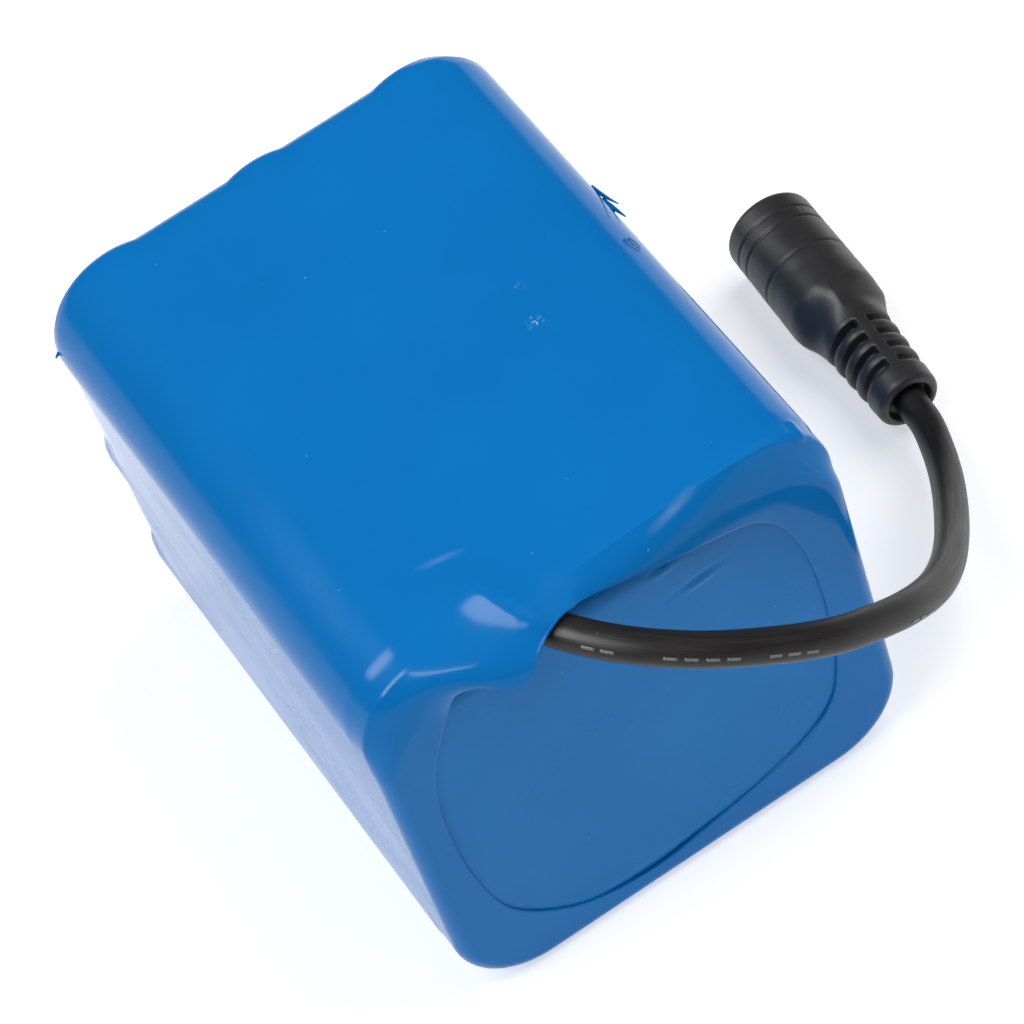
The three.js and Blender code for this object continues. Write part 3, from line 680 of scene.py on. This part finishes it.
def shrink(film, passes):
    """Pulls the film tight over the cells, the end plates and the lead, with both its edges held."""
    right = np.linalg.norm(np.roll(film, -1, axis=1) - film, axis=2)[1:-1]
    left = np.linalg.norm(np.roll(film, 1, axis=1) - film, axis=2)[1:-1]
    ahead = np.linalg.norm(film[2:] - film[1:-1], axis=2)
    behind = np.linalg.norm(film[:-2] - film[1:-1], axis=2)
    around = 2 / (right + left)
    along = 2 / (ahead + behind)
    weights = [around / right, around / left, along / ahead, along / behind]
    total = sum(weights)
    weights = [(weight / total)[..., None] for weight in weights]
    front_rows = slice(FIRST_FRONT_ROW, len(film) - 1)
    rod = smooth_rod(HOOD_ROD)
    x, _, z = film[CREASE_ROW].T
    in_crease = np.flatnonzero((z > MID_Z) & (x > CREASE[0, 0]) & (x < CREASE[-1, 0]))
    holders = [(np.arange(HOOD_COLUMNS), lambda part: rod_distance(part, rod)), (in_crease, crease_distance)]
    for _ in range(passes):
        middle = film[1:-1]
        pulled = (weights[0] * np.roll(middle, -1, axis=1) + weights[1] * np.roll(middle, 1, axis=1)
                  + weights[2] * film[2:] + weights[3] * film[:-2])
        film[1:-1] = middle + STEP * (pulled - middle)
        for distance_from in (cells_distance, side_distance, front_distance, rear_distance):
            distance, direction = distance_from(film[1:-1])
            film[1:-1] += np.maximum(-distance, 0)[..., None] * direction
        for columns, distance_from in holders:
            part = film[front_rows, columns]
            distance, direction = distance_from(part)
            film[front_rows, columns] = part + np.maximum(-distance, 0)[..., None] * direction
    return film


def soften(film):
    """Evens out sharp turns, as the film's own stiffness does."""
    middle = film[1:-1]
    mean = (np.roll(middle, -1, axis=1) + np.roll(middle, 1, axis=1) + film[2:] + film[:-2]) / 4
    film[1:-1] = (middle + mean) / 2
    return film


def make_film(material):
    """The shrunk film, with its wall inside the surface that the solver finds."""
    film = soften(shrink(film_start(), PASSES))
    film = shrink(film, LAST_PASSES)
    rows, columns, _ = film.shape
    faces = grid_faces(rows, columns)
    piece = make_mesh("film_sleeve", film.reshape(-1, 3), faces, material)
    add_wall(piece, FILM, -1)
    place(piece, "film", "shrink_sleeve")


# Torn slivers of film on the long edges, each from its root over a bend to its tip, with its root's width.
SLIVERS = [
    ((27.95, 12.1, 48.0), (27.95, 9.3, 48.9), (28.0, 5.4, 51.3), 0.5),
    ((27.9, 9.8, 48.0), (28.0, 7.0, 48.9), (28.1, 4.8, 49.6), 0.55),
    ((27.75, 9.2, 48.8), (27.85, 7.7, 49.0), (27.8, 6.8, 48.7), 0.4),
    ((25.4, -0.4, 53.0), (25.95, -1.3, 52.8), (26.15, -2.2, 52.15), 0.2),
    ((26.0, 0.0, 52.3), (26.45, -0.7, 52.1), (26.5, -1.4, 51.6), 0.16),
    ((-27.5, 33.4, 46.6), (-28.1, 33.2, 47.0), (-28.6, 33.0, 46.6), 0.55),
]
SLIVER_FACING = (-0.2, -0.6, 0.8)  # the slivers lie flat towards this direction
SLIVER_WALL = 0.12
SLIVER_STEPS = 10
SLIVER_TAPER = 0.75            # share of its width that a sliver loses by its tip
SLIVER_CURL = 0.25             # how far its middle line stands out, against half its width


def make_frays(material):
    """Thin curled slivers, narrowing to their tips."""
    points = []
    faces = []
    for root, bend, tip, width in SLIVERS:
        first = len(points)
        root, bend, tip = (np.array(end) for end in (root, bend, tip))
        across = np.cross(tip - root, SLIVER_FACING)
        across /= np.linalg.norm(across)
        for share in np.linspace(0, 1, SLIVER_STEPS):
            middle = (1 - share) ** 2 * root + 2 * share * (1 - share) * bend + share ** 2 * tip
            half = width / 2 * (1 - SLIVER_TAPER * share ** 2)
            curl = SLIVER_CURL * half * np.array((np.sign(root[0]), 0, 0))
            points += [middle - half * across, middle + curl, middle + half * across]
        faces += grid_faces(SLIVER_STEPS, 3, False, first)
    piece = make_mesh("film_frays", points, faces, material)
    add_wall(piece, SLIVER_WALL)
    place(piece, "film")


# ---- End plates ----

SHEET = 0.35                   # wall of the end sheets
BULGE = 0.06                   # how far the cells behind a sheet press it out
SHEET_COLUMNS = 200
SHEET_RINGS = 70
TOP_LEAN = 1.2                 # how far the film bends the front sheet's top edge back
LEAN_START = 48.5              # the height at which it begins to lean
RIM_START = 0.86               # the share of the way out at which a sheet's rim begins to bend
FRONT_RIM_DROP = 0.3
REAR_RIM_DROP = 1.0
NOTCH = (-10.4, -4.2, 50.1)    # for the lead: left, right and floor
# Raised wrinkles, as X, Z, length, angle and height.
FRONT_WRINKLES = [(10.1, 43.7, 2.2, 4, 0.26), (6.7, 48.6, 1.1, 14, 0.22)]
REAR_WRINKLES = [(-14.0, 40.0, 2.0, 120, 0.08)]
WRINKLE_WIDTH = 0.35
# The furrow beside a wrinkle: its depth against the wrinkle's height, how far beside it, and its width.
FURROW = (0.6, 0.6, 0.4)
RISE_LIMITS = (-0.25, 0.3)


def end_plate(name, node, material, sign, wrinkles, rim_drop, notch=None):
    """A thin wrinkled sheet behind the opening, with its rim bent inwards."""
    low, high = box_mm(node)
    face = low[1] if sign < 0 else high[1]
    half_width = high[0]
    half_height = (high[2] - low[2]) / 2
    radius = CORNER - PLATE_INSET
    angles = np.linspace(-math.pi, math.pi, SHEET_COLUMNS, endpoint=False)
    outline = outline_points(angles, half_width, half_height, radius)
    shares = np.arange(1, SHEET_RINGS + 1) / SHEET_RINGS
    rings = [OPENING_CENTRE + (outline - OPENING_CENTRE) * share for share in shares]
    flat = np.vstack([OPENING_CENTRE[None]] + rings)
    if notch is not None:
        left, right, floor = notch
        in_notch = (flat[:, 0] > left) & (flat[:, 0] < right) & (flat[:, 1] > floor)
        flat[in_notch, 1] = floor
    rise = BULGE * np.cos(flat[:, 0] * 2 * math.pi / PITCH_X)
    rise *= np.cos((flat[:, 1] - MID_Z) * math.pi / PITCH_Z)
    for x, z, reach, angle, height in wrinkles:
        direction = np.array((math.cos(math.radians(angle)), math.sin(math.radians(angle))))
        offset = flat - (x, z)
        along = offset @ direction
        across = offset @ np.array((-direction[1], direction[0]))
        depth, beside, width = FURROW
        rise += height * np.exp(-(along / reach) ** 2 - (across / WRINKLE_WIDTH) ** 2)
        rise -= depth * height * np.exp(-(along / reach) ** 2 - ((across - beside) / width) ** 2)
    outward = np.concatenate([[0], np.repeat(shares, SHEET_COLUMNS)])
    rise = np.clip(rise - BULGE, *RISE_LIMITS) - rim_drop * smooth_step(RIM_START, 1, outward)
    if sign < 0:
        rise -= TOP_LEAN * smooth_step(LEAN_START, high[2], flat[:, 1])
    mesh_points = np.stack([flat[:, 0], face + sign * rise, flat[:, 1]], axis=1)
    faces = [(0, 1 + (column + 1) % SHEET_COLUMNS, 1 + column) for column in range(SHEET_COLUMNS)]
    faces += grid_faces(SHEET_RINGS, SHEET_COLUMNS, offset=1)
    if sign > 0:
        faces = [face_points[::-1] for face_points in faces]
    piece = make_mesh(name, mesh_points, faces, material)
    add_wall(piece, SHEET, -1)
    place(piece, "end_plate", node)


# ---- Lead ----


def frames_along(points):
    """Two directions across a line at each of its points, without twist."""
    tangents = np.gradient(points, axis=0)
    tangents /= np.linalg.norm(tangents, axis=1)[:, None]
    side = np.cross(tangents[0], (0, 0, 1))
    side /= np.linalg.norm(side)
    sides = []
    for tangent in tangents:
        side = side - tangent * (side @ tangent)
        side /= np.linalg.norm(side)
        sides.append(side)
    sides = np.array(sides)
    return sides, np.cross(tangents, sides)


LEAD_END = (0.3, -0.15, 1.45)  # in the socket's hollow, across, up and along the socket
LEAD_STEPS = 240
LEAD_SIDES = 36
JACKET_WAVE = (0.006, 0.11)    # the jacket's slight unevenness: share of the radius, and turn per step


def make_lead(material):
    """The round jacket, as a tube with its own UV along and around it."""
    route = spline(CABLE_ROUTE + [tuple(socket_point(*LEAD_END))], LEAD_STEPS)
    sides, ups = frames_along(route)
    around = LEAD_SIDES
    turn = np.linspace(0, 2 * math.pi, around, endpoint=False)
    height, rate = JACKET_WAVE
    rings = []
    for index, point in enumerate(route):
        circle = np.cos(turn)[:, None] * sides[index] + np.sin(turn)[:, None] * ups[index]
        rings.append(point + CABLE_RADIUS * (1 + height * math.sin(index * rate)) * circle)
    points = np.vstack(rings + [route[:1], route[-1:]])
    count = len(route) * around
    faces = grid_faces(len(route), around) + end_fans(count, around)
    piece = make_mesh("output_lead", points, faces, material)
    layer = piece.data.uv_layers.new(name="lead")
    for polygon in piece.data.polygons:
        wrapped = any(piece.data.loops[index].vertex_index % around == 0 for index in polygon.loop_indices)
        for index in polygon.loop_indices:
            vertex = piece.data.loops[index].vertex_index
            ring, column = divmod(min(vertex, count - 1), around)
            over = column + around if wrapped and column < around / 2 else column
            layer.data[index].uv = (ring / len(route), over / around)
    place(piece, "cable_jacket", "output_cable")
    return route


TICK_STARTS = [6.6, 8.4, 14.2, 16.2, 18.2, 20.2, 24.4, 26.4, 28.4, 43.6, 45.4, 47.2]
TICK_LENGTH = 1.3
TICK_HALF_ANGLE = 5            # degrees around the jacket
TICK_GRID = (6, 4)             # points along and around
TICK_LIFT = 0.025
TICK_WALL = 0.03
TICK_FACING = np.array((-0.2, -0.8, 0.28))


def make_ticks(route, material):
    """Generic printed dashes on the jacket, each a thin curved patch just over its surface."""
    sides, ups = frames_along(route)
    along = distances_along(route)
    count_along, count_around = TICK_GRID
    points = []
    faces = []
    for start in TICK_STARTS:
        lengths = np.linspace(start, start + TICK_LENGTH, count_along)
        first = len(points)
        for centre, side, up in zip(*(resample(lengths, along, line) for line in (route, sides, ups))):
            middle = math.atan2(TICK_FACING @ up, TICK_FACING @ side)
            for offset in np.linspace(-TICK_HALF_ANGLE, TICK_HALF_ANGLE, count_around):
                angle = middle + math.radians(offset)
                outward = math.cos(angle) * side + math.sin(angle) * up
                points.append(centre + (CABLE_RADIUS + TICK_LIFT) * outward)
        faces += grid_faces(count_along, count_around, False, first)
    piece = make_mesh("lead_print", points, faces, material)
    add_wall(piece, TICK_WALL)
    place(piece, "cable_jacket")


# ---- Inline socket ----


def socket_point(x, z, y):
    """A point given across and along the socket, in the row frame."""
    cos, sin = math.cos(SOCKET_TURN), math.sin(SOCKET_TURN)
    return SOCKET_TAIL + np.array((x * cos - y * sin, x * sin + y * cos, z))


SOCKET_LENGTH = 32.2
SOCKET_COLUMNS = 192
BARREL_RADIUS = 5.65
BARREL_TAPER = 0.13            # the barrel is a little slimmer at its open face
GROOVES = (3.0, 4.8, 9.5, 11.3)  # from the open face
GROOVE_SIZE = 0.2              # depth, and half width
SHOULDER = (11.6, 15.6)        # where the neck widens to the barrel
NECK_START = 12.3
NECK_RADIUS = 4.35
COLLAR_RADIUS = 3.8
EDGE_ROUNDING = 0.9
MOUTH_FLOOR = 1.5              # depth of the hollow around the lead
RELIEF_CORE_RADIUS = 2.9
RELIEF_ROWS = 4
FIRST_SLOT = 3.75
SLOT_PITCH = 2.25
SLOT_WIDTH = 1.0
RIB_ROUNDING = 0.16
SLOT_EDGE = 0.1                # half the width of the rounding at a slot's sides
SPINE_EDGE = (0.65, 0.95)      # how far from the spine's middle the slots begin
FACET_DEPTH = 0.75             # of the four flats on the shoulder
FACET_SPAN = (SHOULDER[0] + 0.2, SHOULDER[1] + 1.6, 2.4)  # along the socket, and the width of its ends
SPINE_ANGLE = math.radians(82)
SCALLOP_ANGLE = math.radians(47)
BORE_RADIUS = 4.1
BORE_FLOOR = 19.25
# The rings inside the hollow around the lead and in the bore, as radius and length.
HOLLOW_RINGS = [(1.0, MOUTH_FLOOR), (2.5, MOUTH_FLOOR), (2.7, 1.2), (2.75, 0.3)]
BORE_RINGS = [(4.35, SOCKET_LENGTH), (BORE_RADIUS, SOCKET_LENGTH - 0.25), (BORE_RADIUS, 26.0),
              (BORE_RADIUS, BORE_FLOOR)]
# Stretches of the outside, each from a length to the next, with its number of rings.
OUTSIDE_SPANS = [(0, EDGE_ROUNDING, 10), (EDGE_ROUNDING, 2.5, 8), (2.5, 12.4, 170), (12.4, 17.4, 34),
                 (17.4, 22, 8), (22, SOCKET_LENGTH - 1, 90), (SOCKET_LENGTH - 1, SOCKET_LENGTH, 14)]


def ramp_between(y, low, high, width):
    """1 between low and high, with soft ends of the given width."""
    return smooth_step(low, low + width, y) * (1 - smooth_step(high - width, high, y))


def rounded_edge(depth):
    """How far a rounded edge draws in, at a depth of 0 (flat side) to 1 (end face)."""
    return EDGE_ROUNDING * (1 - np.sqrt(1 - np.clip(depth, 0, 1) ** 2))


def barrel_radius(y):
    """Radius of the barrel with its taper, its grooves and its rounded edge."""
    radius = BARREL_RADIUS - BARREL_TAPER * smooth_step(SHOULDER[1], SOCKET_LENGTH, y)
    for from_face in GROOVES:
        radius -= GROOVE_SIZE * np.exp(-((y - (SOCKET_LENGTH - from_face)) / GROOVE_SIZE) ** 4)
    return radius - rounded_edge((y - SOCKET_LENGTH + EDGE_ROUNDING) / EDGE_ROUNDING)


def slot_depth(angle, y, radius):
    """How deep the relief's slots are cut, and how far the ribs between them are rounded."""
    row = (y - FIRST_SLOT) / SLOT_PITCH
    from_slot = np.abs(row - np.clip(np.round(row), 0, RELIEF_ROWS - 1)) * SLOT_PITCH
    from_spine = radius * np.abs(np.sin(angle - SPINE_ANGLE))
    beside_spine = smooth_step(*SPINE_EDGE, from_spine)
    cut = 1 - smooth_step(SLOT_WIDTH / 2 - SLOT_EDGE, SLOT_WIDTH / 2 + SLOT_EDGE, from_slot)
    rib_share = np.clip((SLOT_PITCH / 2 - from_slot) / (SLOT_PITCH - SLOT_WIDTH) * 2, 0, 1)
    return ((radius - RELIEF_CORE_RADIUS) * cut + RIB_ROUNDING * rib_share ** 2 * (1 - cut)) * beside_spine


def socket_radius(angle, y):
    """Outer radius of the overmould at an angle and at a length from its tail."""
    relief = COLLAR_RADIUS + (NECK_RADIUS - COLLAR_RADIUS) * np.clip(y / NECK_START, 0, 1)
    radius = relief + (barrel_radius(y) - relief) * smooth_step(*SHOULDER, y)
    facet = np.abs(np.cos(2 * (angle - SCALLOP_ANGLE))) ** 1.2
    radius -= FACET_DEPTH * facet * ramp_between(y, *FACET_SPAN)
    radius -= rounded_edge(1 - y / EDGE_ROUNDING)
    return radius - slot_depth(angle, y, relief)


def make_overmould(material):
    """The moulded body, from the hollow around the lead, over the outside, to the bore."""
    around = SOCKET_COLUMNS
    turn = np.linspace(0, 2 * math.pi, around, endpoint=False)
    outside = np.unique(np.concatenate([np.linspace(*span) for span in OUTSIDE_SPANS]))
    rings = [(np.full(around, radius), np.full(around, y)) for radius, y in HOLLOW_RINGS]
    rings += [(socket_radius(turn, np.full(around, y)), np.full(around, y)) for y in outside]
    rings += [(np.full(around, radius), np.full(around, y)) for radius, y in BORE_RINGS]
    points = []
    for radii, lengths in rings:
        for radius, angle, y in zip(radii, turn, lengths):
            points.append(socket_point(radius * math.cos(angle), radius * math.sin(angle), y))
    faces = grid_faces(len(rings), around) + end_fans(len(points), around)
    points.append(socket_point(0, 0, MOUTH_FLOOR))
    points.append(socket_point(0, 0, BORE_FLOOR))
    piece = make_mesh("socket_body", points, faces, material)
    place(piece, "overmould", "connector_overmould")
    return piece


# ---- Floor and light ----

FLOOR_REACH = 4000


def make_floor():
    """A white light table, so that it stays pale under the pack too."""
    material, shader = new_material("pale_floor", (0.72, 0.72, 0.72), 0.6)
    cloud = ramp(shader, noise(shader, 3, 2), 0, 1, 0.3, 0.7)
    connect(shader, mix(shader, cloud, (0.72, 0.72, 0.72), (0.70, 0.70, 0.705)), "Base Color")
    shader.inputs["Specular IOR Level"].default_value = 0.0
    shader.inputs["Emission Color"].default_value = (1, 1, 1, 1)
    shader.inputs["Emission Strength"].default_value = 0.55
    reach = FLOOR_REACH
    corners = [(-reach, -reach, 0), (reach, -reach, 0), (reach, reach, 0), (-reach, reach, 0)]
    floor = make_mesh("floor", corners, [(0, 1, 2, 3)], material, smooth=False)


def softbox(name, direction, distance, width, height, radiance, mirrored):
    """A rectangular lamp that faces the pack, of the given radiance. It only lights, or is only mirrored."""
    data = bpy.data.lights.new(name, "AREA")
    data.shape = "RECTANGLE"
    data.size = width
    data.size_y = height
    data.energy = radiance * math.pi * width * height
    lamp = bpy.data.objects.new(name, data)
    bpy.context.scene.collection.objects.link(lamp)
    lamp.location = Vector(direction).normalized() * distance
    lamp.rotation_euler = (-lamp.location).to_track_quat("-Z", "Y").to_euler()
    lamp.visible_glossy = mirrored
    lamp.visible_diffuse = not mirrored


def make_world():
    """A dark studio with a pale band low down, dimmer in front."""
    world = bpy.data.worlds.new("studio")
    world.use_nodes = True
    background = world.node_tree.nodes["Background"]
    direction = add_node(background, "ShaderNodeTexCoord")
    parts = add_node(background, "ShaderNodeSeparateXYZ", {0: direction.outputs["Generated"]})
    band = ramp(background, parts.outputs["Z"], 0.9, 0.03, 0.0, 0.5)
    behind = ramp(background, parts.outputs["Y"], 0.15, 1, -0.5, 0.3)
    connect(background, calculate(background, "MULTIPLY", band, behind), "Strength")
    bpy.context.scene.world = world


def make_lights():
    make_world()
    softbox("left_softbox", (-0.55, -0.02, 0.83), 1.2, 1.0, 1.0, 3.4, False)
    softbox("right_softbox", (0.55, -0.05, 0.83), 1.2, 1.0, 1.0, 3.4, False)
    softbox("window", (-0.6, 0.0, 0.8), 1.2, 1.3, 0.8, 16.0, True)


# ---- CAD nodes that stay ----


def dress_nodes():
    """Gives every CAD node that stays its material."""
    drawn = (1, 0.1, 1)
    turned = (1, 0.2, 1)
    steel = plain_material("nickelled_steel", (0.55, 0.55, 0.56), (0.42, 0.42, 0.43), 0.28, 1.0, 300, drawn)
    contact = plain_material("bright_contact", (0.62, 0.60, 0.56), (0.5, 0.48, 0.45), 0.22, 1.0, 900, turned)
    wrap = plain_material("cell_wrap", (0.03, 0.30, 0.16), (0.025, 0.24, 0.13), 0.3, 0.0, 120)
    paper = plain_material("barley_paper", (0.62, 0.58, 0.46), (0.5, 0.46, 0.36), 0.85, 0.0, 1500,
                           relief=0.05)
    chip = plain_material("chip_epoxy", (0.012, 0.012, 0.013), (0.02, 0.02, 0.021), 0.5, 0.0, 3000)
    red = plain_material("red_wire", (0.42, 0.02, 0.015), (0.33, 0.015, 0.012), 0.4, 0.0, 700, turned)
    white = plain_material("white_wire", (0.7, 0.7, 0.68), (0.6, 0.6, 0.58), 0.4, 0.0, 700, turned)
    black = plain_material("black_wire", (0.012, 0.012, 0.013), (0.02, 0.02, 0.02), 0.4, 0.0, 700)
    insert = plain_material("black_insert", (0.014, 0.014, 0.015), (0.02, 0.02, 0.021), 0.35, 0.0, 2200)
    board = board_material()
    by_slot = {"cell_can": steel, "nickel": steel, "cell_wrap": wrap, "paper": paper, "circuit_board": board,
               "chip": chip, "wire_red": red, "wire_white": white, "wire_black": black, "insert": insert,
               "contact": contact}
    for subpart in frame["record"]["subparts"]:
        material = by_slot.get(subpart["material_slot"])
        if material is None:
            continue
        data = frame["nodes"][subpart["node"]].data
        data.materials.clear()
        data.materials.append(material)


# ---- The scene ----

bpy.context.scene.view_settings.view_transform = "Standard"
make_camera()
socket_body = make_overmould(connector_material())
lead_route = make_lead(cable_material())
make_ticks(lead_route, tick_material())
film_blue = film_material()
make_film(film_blue)
make_frays(film_blue)
plate_blue = plate_material()
end_plate("front_sheet", "front_end_plate", plate_blue, -1, FRONT_WRINKLES, FRONT_RIM_DROP, NOTCH)
end_plate("rear_sheet", "rear_end_plate", plate_blue, 1, REAR_WRINKLES, REAR_RIM_DROP)
dress_nodes()
make_floor()
make_lights()
